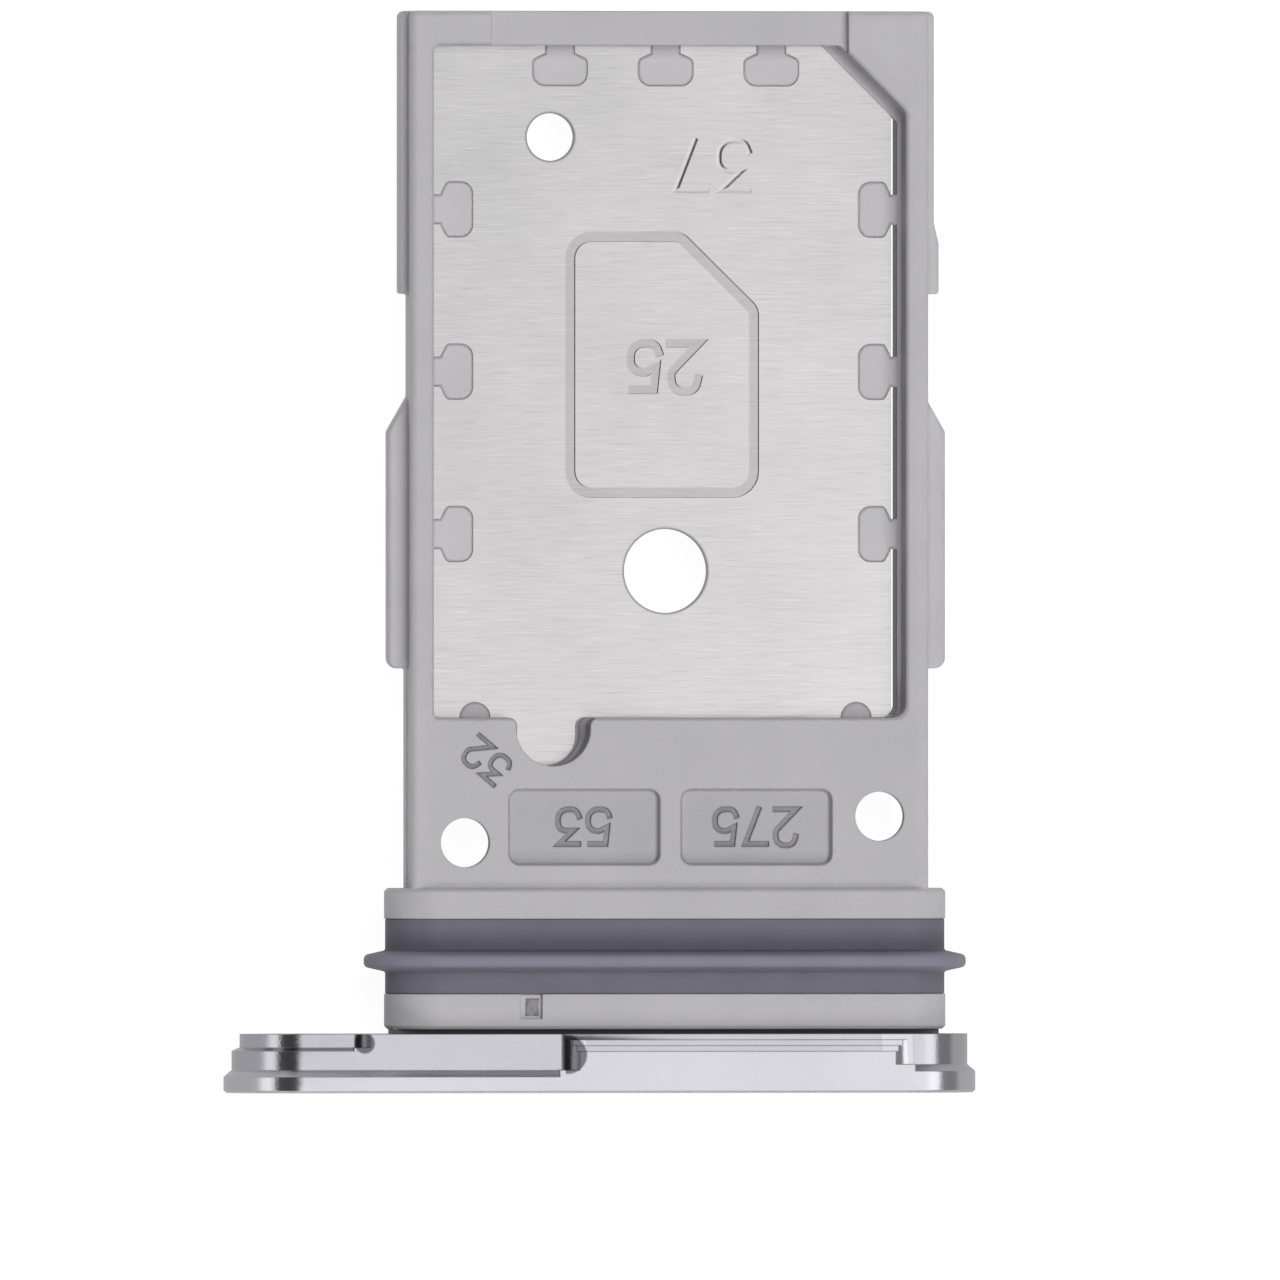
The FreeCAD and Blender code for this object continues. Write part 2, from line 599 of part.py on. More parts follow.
def main():
    """Builds each piece and writes it to its own file."""
    plate = support_plate()
    body = tray_body(plate)
    pieces = {"tray_body": body, "support_plate": plate, "seal_ring": seal_ring(), "head": head(body)}
    os.makedirs("parts", exist_ok=True)
    for name, shape in pieces.items():
        solids = shape.Solids
        print(name, len(solids), "solid, valid", shape.isValid(), "volume", round(shape.Volume, 4))
        piece = solids[0] if len(solids) == 1 else shape
        piece.exportStep("parts/" + name + ".step")


main()
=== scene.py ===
"""Dresses the card tray: plastic, steel, rubber and metal finishes, the marks on them, and a plain studio.

Places and sizes are in millimetres in the part's own frame and become metres where a mesh is made. The tray
lies with its upper card pocket facing up, its head towards -Y and its nose towards +Y.
"""

import math

import bmesh
import bpy
import numpy as np
from mathutils import Matrix, Vector


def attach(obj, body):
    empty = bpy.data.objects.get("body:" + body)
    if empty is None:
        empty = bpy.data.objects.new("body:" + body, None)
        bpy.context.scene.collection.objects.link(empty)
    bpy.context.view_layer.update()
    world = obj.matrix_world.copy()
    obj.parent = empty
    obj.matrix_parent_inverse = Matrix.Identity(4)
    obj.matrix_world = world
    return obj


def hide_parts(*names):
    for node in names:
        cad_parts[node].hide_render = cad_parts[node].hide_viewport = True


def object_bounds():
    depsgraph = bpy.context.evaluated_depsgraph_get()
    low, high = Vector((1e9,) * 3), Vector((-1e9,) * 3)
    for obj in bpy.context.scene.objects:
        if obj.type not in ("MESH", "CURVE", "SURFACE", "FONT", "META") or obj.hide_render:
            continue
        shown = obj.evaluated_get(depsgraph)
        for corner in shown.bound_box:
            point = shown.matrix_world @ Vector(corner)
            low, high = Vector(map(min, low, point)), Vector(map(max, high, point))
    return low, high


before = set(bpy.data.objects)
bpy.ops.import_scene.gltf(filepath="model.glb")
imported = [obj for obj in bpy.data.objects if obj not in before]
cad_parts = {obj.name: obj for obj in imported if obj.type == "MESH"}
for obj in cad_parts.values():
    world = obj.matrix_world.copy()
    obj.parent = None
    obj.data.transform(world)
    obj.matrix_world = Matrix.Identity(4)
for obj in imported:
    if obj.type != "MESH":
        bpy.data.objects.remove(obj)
CAD_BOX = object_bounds()

MM = 0.001

# The photograph's view: size, scale, the place on the tray in its middle, and how far left it looks from
PIXELS = 1280
PIXELS_PER_MM = 53.55
VIEW_CENTRE = (-0.468, 8.45)
VIEW_LEFT_DEG = 7.5
VIEW_DISTANCE = 1000.0
SENSOR = 36.0

# The seal ring's section, as in the part's solid, with the soft edges that the real one has
COLLAR_CENTRE = 4.33
GROOVE_FRONT, GROOVE_BACK = 1.845, 3.25
GROOVE_RADIUS = 0.65
SEAL_RADIUS = 0.93
RIB_MIDDLE = 2.46
RIB_RADIUS = 1.33
RIB_BASE_HALF, RIB_TIP_HALF = 0.20, 0.11
SEAL_EDGE = 0.03
RIB_ROOT_ROUND, RIB_TIP_ROUND = 0.05, 0.10

# Parts of a finish are limited by axis, start, end and, where they are soft, the widths of their two edges

# The depths between which the head's milled sides become its blasted front face
FRONT_DEPTHS = (0.05, 0.01)

# The head's full-height middle, and the band behind its flange in which the rest is milled down and darker
# in colour
FULL_HEIGHT = ("X", -2.13, 4.50)
RELIEF_BAND = ("Y", 0.42, 2.0, 0.04)
RELIEF_SHADE = (0.86, 0.86, 0.875)

# The band of fine steps along the head's middle, darker in colour than the rest
STEPS_BAND = (("X", -1.64, 3.92), ("Y", 0.78, 1.085))
STEPS_SHADE = (0.86, 0.86, 0.87)

# Painted shade on the ends of the reliefs, round as their cutter left them: wall, middle (x, y) and radius
RELIEF_END_SHADE_PATCHES = ((-2.04, -2.00, 0.72, 0.34), (-5.97, -5.80, 0.93, 0.17))
RELIEF_END_SHADE_SOFT = 0.04
RELIEF_END_PAINTED_SHADE = (0.28, 0.28, 0.30)

# Painted shade in the corner of the seal behind its rib
SEAL_CORNER = ("Y", 2.64, 2.74, 0.02, 0.34)
SEAL_CORNER_SHADE = (0.66, 0.66, 0.68)

# The recess of the gate in the collar
GATE_PLACE = (-2.61, 1.60)
GATE_HALF = (0.13, 0.17)
GATE_FLOOR = 0.85

# The part of the pocket that the keys stand in, in plan, and the fewest points of a path round a key
POCKET_LOW, POCKET_HIGH = (-4.44, 7.01), (4.24, 19.54)
KEY_RUN = 20

# Levels of the surfaces that carry marks
PLATE_TOP = 0.10
WEB_TOP = 0.80
PANEL_FLOOR = 0.68

# Grooves of the marks: width, level of the surface, depth, and how far each wall leans in
PANEL_STROKE = (0.105, PANEL_FLOOR, 0.05, 0.012)
WEB_STROKE = (0.09, WEB_TOP, 0.05, 0.012)
ETCHED_STROKE = (0.17, PLATE_TOP, 0.004, 0.02)
STAMPED_STROKE = (0.11, PLATE_TOP, 0.008, 0.045)
CARD_GROOVE = (0.20, PLATE_TOP, 0.004, 0.02)
KEY_GROOVE = (0.080, PLATE_TOP, 0.028, 0.020)

# How far a cutter stands above the surface that it cuts
CUTTER_RISE = 0.002

# The material that a groove takes: the piece's own, or the one for its marks: etched steel on the plate, and
# on the moulding plastic darkened as painted shade
OWN, MARKED = 0, 1

# Plain numbers: text, middle, height, groove, turn in plan, and the groove's material
WEB_NUMBERS = (
    ("53", (-1.62, 4.96), 0.66, PANEL_STROKE, 180.0, MARKED),
    ("275", (1.62, 4.96), 0.66, PANEL_STROKE, 180.0, MARKED),
    ("32", (-3.46, 6.20), 0.55, WEB_STROKE, 140.0, MARKED),
)
PLATE_NUMBERS = (
    ("25", (-0.02, 13.55), 0.88, ETCHED_STROKE, 180.0, MARKED),
    ("37", (0.88, 17.30), 0.95, STAMPED_STROKE, 180.0, OWN),
)

# Plain digits as single strokes in a box of height 1: corners (x, y, radius)
DIGIT_WIDTH = 0.6
DIGIT_PITCH = 0.86
DIGIT_STEPS = 7
DIGITS = {
    "2": ((0.02, 0.76, 0), (0.08, 1.02, 0.22), (0.56, 1.02, 0.24), (0.60, 0.62, 0.20), (0.0, 0.0, 0),
          (0.60, 0.0, 0)),
    "3": ((0.02, 0.98, 0), (0.56, 0.98, 0), (0.16, 0.60, 0), (0.60, 0.60, 0.22), (0.60, 0.0, 0.28),
          (0.08, 0.0, 0.20), (0.0, 0.20, 0)),
    "5": ((0.54, 0.98, 0), (0.10, 0.98, 0), (0.05, 0.50, 0), (0.28, 0.62, 0.18), (0.60, 0.58, 0.24),
          (0.60, 0.0, 0.28), (0.06, 0.0, 0.20), (0.0, 0.18, 0)),
    "7": ((0.0, 0.98, 0), (0.60, 0.98, 0), (0.22, 0.0, 0)),
}

# The groove in the shape of a card with one cut corner: corners (x, y, radius)
CARD_OUTLINE = (
    (-1.80, 11.20, 0.40),
    (1.66, 11.20, 0.40),
    (1.66, 14.62, 0.25),
    (0.28, 15.98, 0.25),
    (-1.80, 15.98, 0.40),
)

# The holes in the plate, (x, y, radius), and the painted shade round each, on the rim that the punch rolled
# in
PLATE_HOLES = ((-2.17, 17.84, 0.445), (0.0, 9.74, 0.785))
RIM_WIDTH = 0.05
ROLLED_RIM_PAINTED_SHADE = (0.35, 0.35, 0.36)

# The steel's slow change of brightness, a painted reflection: at the part's origin, and how it grows to the
# metre along X and Y
PAINTED_REFLECTION_AT_ORIGIN = (0.5, 0.83, 0.0)
PAINTED_REFLECTION_SLOPE = (45.0, -25.0, 1.0)

# Parts of the moulding that are lighter or darker, by their finish or by painted light and shade as each
# says: their limits on some axes and their share of its colour
TINTED = (
    # Painted light on the keys, which are lighter than the rest of the moulding
    ((("Z", 0.095, 0.105), ("Y", 7.4, 19.6)), 1.10),
    # Painted shade in the gap behind the head
    ((("Y", -1.0, 1.185),), 0.22),
    # Painted shade on the wall under the plate's free side, seen through the slot
    ((("X", 4.30, 4.48), ("Y", 7.0, 18.4), ("Z", -0.78, 0.07)), 0.35),
    # The number panels, darker by their finish, and again their sides towards the head, darker still as
    # painted shadow of their walls
    ((("X", -3.2, 3.2), ("Y", 4.20, 5.74), ("Z", 0.65, 0.78)), 0.88),
    ((("X", -3.2, 3.2), ("Y", 4.20, 4.48), ("Z", 0.65, 0.78)), 0.93),
    # Painted shade on the right-hand walls of the left and the right panel
    ((("X", -0.27, -0.10), ("Y", 4.20, 5.74), ("Z", 0.65, 0.79)), 0.80),
    ((("X", 2.97, 3.14), ("Y", 4.20, 5.74), ("Z", 0.65, 0.79)), 0.80),
)

# Angles past which an edge stays sharp: small on the plate, because its marks have shallow walls
SHARP_DEG = {"moulding": 15.0, "gate_stub": 60.0, "plate": 6.0, "seal": 30.0, "head_bar": 15.0}

# The radius of the moulding's soft edges, and of the edges inside its marks
PLASTIC_EDGE, MARK_EDGE = 0.055, 0.01

# Colours of the finishes, darkest and lightest
PLASTIC = ((0.440, 0.432, 0.450), (0.500, 0.490, 0.512))
# Plastic darkened as painted shade, for the number grooves and the gate's stub in its recess
RECESS_SHADE_PLASTIC = ((0.200, 0.196, 0.206), (0.300, 0.294, 0.309))
STEEL = ((0.560, 0.556, 0.556), (0.870, 0.840, 0.846))
ETCHED_STEEL = ((0.480, 0.472, 0.476), (0.675, 0.652, 0.660))
SILICONE = ((0.125, 0.120, 0.155), (0.155, 0.150, 0.185))
SILICONE_RIB = ((0.205, 0.197, 0.250), (0.240, 0.231, 0.290))
MILLED_ALUMINIUM = ((0.66, 0.65, 0.70), (0.74, 0.73, 0.78))
BLASTED_ALUMINIUM = ((0.80, 0.785, 0.84), (0.97, 0.955, 1.0))

# The light table: its reach in metres, and what matt surfaces, metal and the camera get of it
FLOOR_REACH = 3.0
FLOOR_MATT, FLOOR_GLOW = 0.80, 0.50
FLOOR_IN_METAL = 0.50
FLOOR_SEEN, FLOOR_SHADOW = 0.95, 0.12

# The light that metal reflects, by the angle across the tray: degrees right of the vertical, and strength
PANELS = (
    (-180, 0.60), (-100, 0.45), (-70, 0.55), (-62, 1.10), (-45, 1.10), (-39, 0.08), (-6, 0.06),
    (1, 1.02), (30, 1.06), (37, 1.30), (52, 1.30), (57, 0.25), (100, 0.25), (180, 0.60),
)

# The panels' fade towards the nose: where along Y it starts and ends, and the strength before and after
NOSE_FADE = (0.20, 0.55, 1.0, 0.48)

# The even sky that matt surfaces see
SKY_LIGHT = 0.08

# The lamps: place in metres, and the share of full light that each gives; and their size in metres
LAMPS = {
    "right": ((0.20, 0.00, 0.56), 0.39),
    "nose_side": ((0.00, 0.20, 0.56), 0.33),
    "head_side": ((0.00, -0.42, 0.40), 0.22),
}
LAMP_SIZE = 0.25


# Small tools

def round_corners(corners, steps=6, closed=True):
    """Points of an outline whose (x, y, radius) corners are rounded by arcs of some steps each.

    At each corner the arc touches both sides radius / tan(half the corner's angle) away from the corner.
    """
    corners = np.asarray(corners, float)
    points = []
    count = len(corners)
    for i, (x, y, radius) in enumerate(corners):
        here = np.array((x, y))
        if radius == 0 or (not closed and i in (0, count - 1)):
            points.append(here[None])
            continue
        last = corners[i - 1][:2] - here
        following = corners[(i + 1) % count][:2] - here
        last /= np.linalg.norm(last)
        following /= np.linalg.norm(following)
        half = math.acos(np.clip(last @ following, -1, 1)) / 2
        inward = (last + following) / np.linalg.norm(last + following)
        centre = here + inward * radius / math.sin(half)
        start = here + last * radius / math.tan(half) - centre
        end = here + following * radius / math.tan(half) - centre
        turn = math.atan2(start[0] * end[1] - start[1] * end[0], start @ end)
        t = np.linspace(0, turn, steps + 1)[:, None]
        across = np.array((-start[1], start[0]))
        points.append(centre + np.cos(t) * start + np.sin(t) * across)
    return np.concatenate(points)


def grid_faces(rows, columns, wrap_u=True, wrap_v=True):
    """Quads between neighbours on a grid of points, numbered row by row, closed round u, v or both."""
    u = np.arange(rows if wrap_u else rows - 1)
    v = np.arange(columns if wrap_v else columns - 1)
    a, b = np.meshgrid(u, v, indexing="ij")
    a2, b2 = (a + 1) % rows, (b + 1) % columns
    quads = np.stack([a * columns + b, a2 * columns + b, a2 * columns + b2, a * columns + b2], -1)
    return quads.reshape(-1, 4).tolist()


def mesh_from(name, vertices, faces, *materials):
    """A mesh of that name from an array of vertices, in metres, a list of faces, and its materials."""
    mesh = bpy.data.meshes.new(name)
    mesh.from_pydata(vertices.tolist(), [], faces)
    for finish in materials:
        mesh.materials.append(finish)
    mesh.update()
    return mesh


def piece(name, mesh):
    """Shows a mesh as a piece of the tray, smooth but for its sharp edges, with large faces kept flat."""
    mesh.shade_smooth()
    mesh.set_sharp_from_angle(angle=math.radians(SHARP_DEG[name]))
    shown = bpy.data.objects.new(name, mesh)
    bpy.context.scene.collection.objects.link(shown)
    weighted = shown.modifiers.new("even_flats", "WEIGHTED_NORMAL")
    weighted.keep_sharp = True
    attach(shown, "root")
    return shown


def merged_node(node):
    """Vertices and triangles of a CAD node, its loose triangles joined where their corners coincide."""
    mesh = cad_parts[node].data
    flat = np.empty(len(mesh.vertices) * 3)
    mesh.vertices.foreach_get("co", flat)
    corners = np.empty(len(mesh.loops), int)
    mesh.loops.foreach_get("vertex_index", corners)
    places = np.round(flat.reshape(-1, 3), 8)
    vertices, back = np.unique(places, axis=0, return_inverse=True)
    triangles = back.reshape(-1)[corners].reshape(-1, 3)
    a, b, c = triangles.T
    return vertices, triangles[(a != b) & (b != c) & (c != a)].tolist()


def carve(mesh, cutters):
    """Cuts solids that stand apart out of a mesh. The cuts' walls and floors take their materials."""
    gathered = bmesh.new()
    for cutter in cutters:
        gathered.from_mesh(cutter)
    together = bpy.data.meshes.new("cutters")
    gathered.to_mesh(together)
    gathered.free()
    blank = bpy.data.objects.new("blank", mesh)
    tool = bpy.data.objects.new("cutters", together)
    for used in (blank, tool):
        bpy.context.scene.collection.objects.link(used)
    cut = blank.modifiers.new("cut", "BOOLEAN")
    cut.operation = "DIFFERENCE"
    cut.solver = "EXACT"
    cut.object = tool
    carved = bpy.data.meshes.new_from_object(blank.evaluated_get(bpy.context.evaluated_depsgraph_get()))
    for used in (blank, tool):
        bpy.data.objects.remove(used)
    if len(carved.polygons) < len(mesh.polygons):
        raise ValueError("the cut took more than its marks")
    return carved


# The marks

def groove_cutter(name, path, groove, material, closed=False):
    """A solid along a path in plan, to cut a groove with leaning walls: a trapezium carried along the path.

    The path's own normal at each point, scaled so that both sides keep their width round the corners,
    spreads the trapezium's four corners: wide above the surface, narrow at the floor. An open path is
    extended by half the width at both ends and closed with caps.
    """
    width, top, depth, draft = groove
    half = width / 2
    path = np.array(path, float)
    if closed:
        before, after = np.roll(path, 1, 0), np.roll(path, -1, 0)
    else:
        first = path[0] - path[1]
        last = path[-1] - path[-2]
        path[0] += first / np.linalg.norm(first) * width / 2
        path[-1] += last / np.linalg.norm(last) * width / 2
        before = np.vstack([2 * path[:1] - path[1:2], path[:-1]])
        after = np.vstack([path[1:], 2 * path[-1:] - path[-2:-1]])
    a, b = path - before, after - path
    a /= np.linalg.norm(a, axis=1)[:, None]
    b /= np.linalg.norm(b, axis=1)[:, None]
    along = (a + b) / np.linalg.norm(a + b, axis=1)[:, None]
    side = np.stack([-along[:, 1], along[:, 0]], 1) / np.sum(along * a, axis=1)[:, None]
    widening = draft * CUTTER_RISE / depth
    corners = (
        (-half - widening, top + CUTTER_RISE),
        (half + widening, top + CUTTER_RISE),
        (half - draft, top - depth),
        (-half + draft, top - depth),
    )
    rings = np.stack([np.column_stack([path + side * s, np.full(len(path), z)]) for s, z in corners], 1)
    rows, columns = rings.shape[:2]
    faces = grid_faces(rows, columns, wrap_u=closed)
    if not closed:
        faces.append(list(range(columns)))
        faces.append([(rows - 1) * columns + j for j in reversed(range(columns))])
    mesh = mesh_from(name, rings.reshape(-1, 3) * MM, faces)
    mesh.polygons.foreach_set("material_index", np.full(len(mesh.polygons), material, np.int32))
    return mesh


def digit_cutters(text, centre, height, groove, turn_deg, material):
    """Cutters for a row of plain digits about a centre, turned in plan, whose strokes are grooves."""
    cutters = []
    turn = math.radians(turn_deg)
    rotate = np.array([[math.cos(turn), -math.sin(turn)], [math.sin(turn), math.cos(turn)]])
    for i, digit in enumerate(text):
        stroke = round_corners(DIGITS[digit], steps=DIGIT_STEPS, closed=False)
        stroke[:, 0] += (i - (len(text) - 1) / 2) * DIGIT_PITCH - DIGIT_WIDTH / 2
        stroke[:, 1] -= 0.5
        path = (stroke * height) @ rotate.T + np.asarray(centre)
        cutters.append(groove_cutter("digit", path, groove, material))
    return cutters


def key_edges(vertices, triangles):
    """Paths along the plate's cut-outs, where the plastic keys meet the steel, worked out from its mesh.

    An edge of the outline lies between a triangle of the top face and one of a wall. The edges inside the
    pocket are joined end to end, and the long runs are those that turn round a key.
    """
    place = vertices / MM
    triangles = np.array(triangles)
    level = np.all(np.abs(place[triangles][:, :, 2] - PLATE_TOP) < 1e-4, axis=1)
    top = triangles[level]
    sides = np.concatenate([top[:, [0, 1]], top[:, [1, 2]], top[:, [2, 0]]])
    pairs = {tuple(side) for side in sides.tolist()}
    follow = {a: b for a, b in pairs if (b, a) not in pairs}
    before = {b: a for a, b in follow.items()}
    inside = np.all((place[:, :2] > POCKET_LOW) & (place[:, :2] < POCKET_HIGH), axis=1)
    runs = []
    for start in follow:
        if inside[start] and not inside[before[start]]:
            run = [before[start], start]
            while inside[run[-1]]:
                run.append(follow[run[-1]])
            if len(run) >= KEY_RUN:
                runs.append(np.clip(place[run, :2], POCKET_LOW, POCKET_HIGH))
    return runs


# The seal ring

def seal_section():
    """The seal's section, (radius, y) all round: its face in the groove, its band, and its rounded rib."""
    rib_front, rib_back = RIB_MIDDLE - RIB_BASE_HALF, RIB_MIDDLE + RIB_BASE_HALF
    tip_front, tip_back = RIB_MIDDLE - RIB_TIP_HALF, RIB_MIDDLE + RIB_TIP_HALF
    return round_corners([
        (GROOVE_RADIUS, GROOVE_FRONT, 0),
        (SEAL_RADIUS, GROOVE_FRONT, SEAL_EDGE),
        (SEAL_RADIUS, rib_front, RIB_ROOT_ROUND),
        (RIB_RADIUS, tip_front, RIB_TIP_ROUND),
        (RIB_RADIUS, tip_back, RIB_TIP_ROUND),
        (SEAL_RADIUS, rib_back, RIB_ROOT_ROUND),
        (SEAL_RADIUS, GROOVE_BACK, SEAL_EDGE),
        (GROOVE_RADIUS, GROOVE_BACK, 0),
    ])


def rib_faces(section, rings):
    """Marks the faces of a carried section that lie on the rib, ring by ring."""
    radius = (section[:, 0] + np.roll(section[:, 0], -1)) / 2
    return np.tile(radius > SEAL_RADIUS + RIB_ROOT_ROUND, rings)


def stadium_carry(section, centre, arc_steps=40, run_steps=12):
    """Carries a (radius, y) section round a stadium: two half circles about x = +-centre, straight between.

    A point at radius r is at x = side * centre + r cos(t), z = r sin(t), with t the angle round the ends.
    """
    t = np.concatenate([
        np.linspace(-90, 90, arc_steps + 1),
        np.full(run_steps - 1, 90.0),
        np.linspace(90, 270, arc_steps + 1),
        np.full(run_steps - 1, 270.0),
    ])
    run = np.linspace(1, -1, run_steps + 1)[1:-1]
    shift = np.concatenate([np.ones(arc_steps + 1), run, -np.ones(arc_steps + 1), -run]) * centre
    t = np.radians(t)[:, None]
    radius, y = section[:, 0][None], section[:, 1][None]
    return np.stack([shift[:, None] + radius * np.cos(t), y + 0 * t, radius * np.sin(t)], -1)[::-1]


# The broken-off gate

def gate_stub_mesh(finish, steps=15):
    """The stub left in the recess where the plastic's gate was broken off, as a rough low hump.

    Its height over the recess's floor is 0.035 + 0.022 sin(23 x + 2) sin(17 y + 1) + 0.014 sin(41 x - 29 y)
    millimetres, with x and y from the recess's middle, and it falls below the floor at its rim.
    """
    u = np.linspace(-1, 1, steps)
    x, y = np.meshgrid(u * GATE_HALF[0], u * GATE_HALF[1], indexing="ij")
    height = 0.035 + 0.022 * np.sin(23 * x + 2) * np.sin(17 * y + 1) + 0.014 * np.sin(41 * x - 29 * y)
    rim = np.maximum(np.abs(x) / GATE_HALF[0], np.abs(y) / GATE_HALF[1]) > 0.99
    height[rim] = -0.01
    points = np.stack([x + GATE_PLACE[0], y + GATE_PLACE[1], height + GATE_FLOOR], -1)
    faces = grid_faces(steps, steps, wrap_u=False, wrap_v=False)
    return mesh_from("gate_stub", points.reshape(-1, 3) * MM, faces, finish)


# The materials

def material(name, **sockets):
    """A new material on the Principled shader, with constants set on its own sockets."""
    made = bpy.data.materials.new(name)
    made.use_nodes = True
    shader = made.node_tree.nodes["Principled BSDF"]
    for socket, value in sockets.items():
        shader.inputs[socket].default_value = value
    return made, made.node_tree, shader


def add(tree, kind, **settings):
    """A new node with some of its settings and input values."""
    node = tree.nodes.new(kind)
    for key, value in settings.items():
        if key in node.inputs:
            node.inputs[key].default_value = value
        else:
            setattr(node, key, value)
    return node


def joined(tree, kind, *outputs, **settings):
    """The first output of a new node whose first inputs are linked to some outputs, in their order."""
    node = add(tree, kind, **settings)
    for i, output in enumerate(outputs):
        tree.links.new(output, node.inputs[i])
    return node.outputs[0]


def product(tree, first, second):
    """The product of two values."""
    return joined(tree, "ShaderNodeMath", first, second, operation="MULTIPLY")


def ramp(tree, value, start, end, low=0.0, high=1.0):
    """Maps values between start and end onto a range from low to high, and holds the rest at its ends."""
    node = add(tree, "ShaderNodeMapRange")
    for socket, number in (("From Min", start), ("From Max", end), ("To Min", low), ("To Max", high)):
        node.inputs[socket].default_value = number
    tree.links.new(value, node.inputs["Value"])
    return node.outputs["Result"]


def spread(tree, noise, low, high, span=0.22):
    """Maps noise, which stays near one half, onto a range from low to high."""
    return ramp(tree, noise, 0.5 - span, 0.5 + span, low, high)


def own_place(tree, output="Object"):
    """The part's own place, or another coordinate, as one output and apart as X, Y and Z."""
    whole = add(tree, "ShaderNodeTexCoord").outputs[output]
    apart = add(tree, "ShaderNodeSeparateXYZ")
    tree.links.new(whole, apart.inputs[0])
    return whole, apart.outputs


def object_noise(tree, size, detail=2.0, roughness=0.5, stretch=(1.0, 1.0, 1.0)):
    """Noise in the part's own place, in blobs of about size millimetres times each axis's stretch."""
    place = add(tree, "ShaderNodeTexCoord")
    mapping = add(tree, "ShaderNodeMapping")
    mapping.inputs["Scale"].default_value = [1 / (size * MM * s) for s in stretch]
    noise = add(tree, "ShaderNodeTexNoise", Scale=1.0, Detail=detail, Roughness=roughness)
    tree.links.new(place.outputs["Object"], mapping.inputs["Vector"])
    tree.links.new(mapping.outputs["Vector"], noise.inputs["Vector"])
    return noise.outputs["Fac"]


def scratches(tree, size, stretch, start, full):
    """One on sparse scratches, else zero: stretched noise, cut off to leave its peaks or its hollows."""
    return ramp(tree, object_noise(tree, size, detail=0.0, stretch=stretch), start, full)


def total(tree, *values):
    """The sum of some (value, weight) pairs."""
    last = None
    for value, weight in values:
        node = add(tree, "ShaderNodeMath", operation="MULTIPLY_ADD")
        tree.links.new(value, node.inputs[0])
        node.inputs[1].default_value = weight
        if last is None:
            node.inputs[2].default_value = 0.0
        else:
            tree.links.new(last, node.inputs[2])
        last = node.outputs[0]
    return last


def mixed(tree, factor, first, second, kind="RGBA", blend="MIX"):
    """A mix of two values or colours by a factor from 0 to 1. A colour may be a constant."""
    a, b, out = {"FLOAT": (2, 3, 0), "RGBA": (6, 7, 2)}[kind]
    mix = add(tree, "ShaderNodeMix", data_type=kind, blend_type=blend)
    tree.links.new(factor, mix.inputs[0])
    for value, socket in ((first, mix.inputs[a]), (second, mix.inputs[b])):
        if isinstance(value, tuple):
            socket.default_value = (*value, 1)
        else:
            tree.links.new(value, socket)
    return mix.outputs[out]


def shaded(tree, colour, where, tint):
    """A colour multiplied by a tint where a factor is one."""
    return mixed(tree, where, colour, tint, blend="MULTIPLY")


def relief(tree, shader, height, depth, edge):
    """Bumps of a depth in millimetres on edges rounded by a radius in millimetres."""
    rounded = add(tree, "ShaderNodeBevel", samples=6, Radius=edge * MM)
    bump = add(tree, "ShaderNodeBump", Strength=1.0, Distance=depth * MM)
    tree.links.new(height, bump.inputs["Height"])
    tree.links.new(rounded.outputs["Normal"], bump.inputs["Normal"])
    tree.links.new(bump.outputs["Normal"], shader.inputs["Normal"])


def within(tree, apart, axis, start, end, blur=0.01, fade=None):
    """One between two millimetre marks on an axis, else zero.

    It rises over the blur before the first mark and falls over the fade after the second, or over the blur.
    """
    low = ramp(tree, apart[axis], (start - blur) * MM, start * MM)
    high = ramp(tree, apart[axis], (end + (fade or blur)) * MM, end * MM)
    return product(tree, low, high)


def patch(tree, apart, *sides):
    """One inside a box given by some (axis, start, end) in millimetres, else zero."""
    factor = within(tree, apart, *sides[0])
    for side in sides[1:]:
        factor = product(tree, factor, within(tree, apart, *side))
    return factor


def disc(tree, whole, x, y, radius, soft):
    """One inside a circle in plan, falling to zero over a soft width outside it."""
    flat = add(tree, "ShaderNodeVectorMath", operation="MULTIPLY")
    flat.inputs[1].default_value = (1, 1, 0)
    away = add(tree, "ShaderNodeVectorMath", operation="DISTANCE")
    away.inputs[1].default_value = (x * MM, y * MM, 0)
    tree.links.new(whole, flat.inputs[0])
    tree.links.new(flat.outputs[0], away.inputs[0])
    return ramp(tree, away.outputs["Value"], (radius + soft) * MM, radius * MM)


def moulded_plastic(name, colours, edge):
    """Glass-filled grey plastic: a fine eroded texture, faint flow clouds and soft edges.

    It is lighter on the keys, as painted light, darker in its panels by their finish and by painted shade,
    and darker in its gaps as painted shade, as the table of its tinted parts says.
    """
    made, tree, shader = material(name, IOR=1.50)
    apart = own_place(tree)[1]
    clouds = object_noise(tree, 1.6, detail=3.0)
    grain = object_noise(tree, 0.045, detail=2.0)
    mix = total(tree, (clouds, 0.45), (grain, 0.55))
    colour = mixed(tree, spread(tree, mix, 0, 1, span=0.16), *colours)
    # Tints by finish, and painted light and shade, from the table
    for sides, tint in TINTED:
        colour = shaded(tree, colour, patch(tree, apart, *sides), (tint, tint, tint))
    tree.links.new(colour, shader.inputs["Base Color"])
    tree.links.new(spread(tree, grain, 0.46, 0.62), shader.inputs["Roughness"])
    relief(tree, shader, grain, depth=0.004, edge=edge)
    return made


